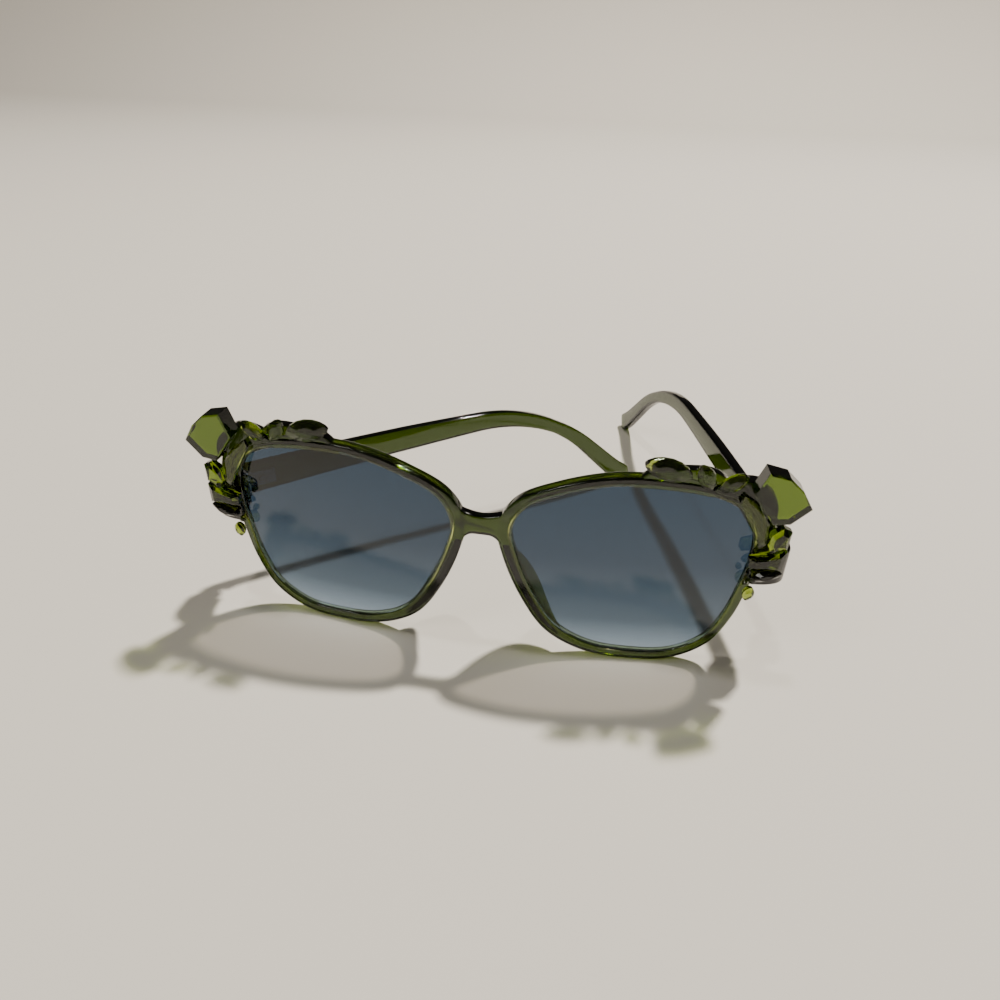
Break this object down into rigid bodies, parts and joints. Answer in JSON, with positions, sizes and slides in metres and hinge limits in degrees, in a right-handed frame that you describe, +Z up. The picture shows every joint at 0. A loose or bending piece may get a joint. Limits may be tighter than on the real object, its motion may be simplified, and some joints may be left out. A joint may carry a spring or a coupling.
{
  "type": "sunglasses",
  "caption": "Cat-eye sunglasses with a moulded plastic front, gradient lenses, folding temples on screwed hinges and faceted stones on the upper outer corners.",
  "frame": {"origin": "bottom centre of the bounding box of the whole object as it stands on a table", "axes": "+X to the viewer's right along the front, +Y from the front back towards the temple tips, +Z up"},
  "size_m": [0.149, 0.1504, 0.063],
  "materials": {
    "frame_plastic": "polished, see-through olive green",
    "stone_resin": "faceted and polished, see-through olive",
    "leaf_stone_resin": "faceted and polished, see-through deep olive",
    "dark_stone_resin": "faceted and polished, near-black olive",
    "lens_tint": "polished, blue-grey gradient tint",
    "hinge_steel": "satin"
  },
  "bodies": {
    "front": {"frame_front": "frame_plastic", "lens_right": "lens_tint", "lens_left": "lens_tint", "hinge_front_right": "hinge_steel", "hinge_front_left": "hinge_steel", "hinge_screw_right": "hinge_steel", "hinge_screw_left": "hinge_steel", "stone_corner_right": "stone_resin", "stone_corner_left": "stone_resin", "stone_petal_right": "stone_resin", "stone_petal_left": "stone_resin", "stone_kite_right": "stone_resin", "stone_kite_left": "stone_resin", "stone_trapezoid_right": "stone_resin", "stone_trapezoid_left": "stone_resin", "stone_large_leaf_right": "leaf_stone_resin", "stone_large_leaf_left": "leaf_stone_resin", "stone_small_leaf_right": "leaf_stone_resin", "stone_small_leaf_left": "leaf_stone_resin", "stone_medium_leaf_right": "stone_resin", "stone_medium_leaf_left": "stone_resin", "stone_marquise_right": "dark_stone_resin", "stone_marquise_left": "dark_stone_resin", "stone_link_right": "dark_stone_resin", "stone_link_left": "dark_stone_resin", "stone_drop_right": "stone_resin", "stone_drop_left": "stone_resin"},
    "temple_left": {"temple_left": "frame_plastic", "hinge_temple_left": "hinge_steel", "hinge_rivet_left": "hinge_steel"},
    "temple_right": {"temple_right": "frame_plastic", "hinge_temple_right": "hinge_steel", "hinge_rivet_right": "hinge_steel"}
  },
  "joints": [
    {"name": "temple_left_fold", "type": "hinge", "parent": "front", "child": "temple_left", "pos_m": [-0.0695, -0.05511, 0.03162], "axis": [0, 0, -1], "range_deg": [-48.4, 37]},
    {"name": "temple_right_fold", "type": "hinge", "parent": "front", "child": "temple_right", "pos_m": [0.0695, -0.05511, 0.03162], "axis": [0, 0, 1], "range_deg": [-12.7, 24]}
  ]
}
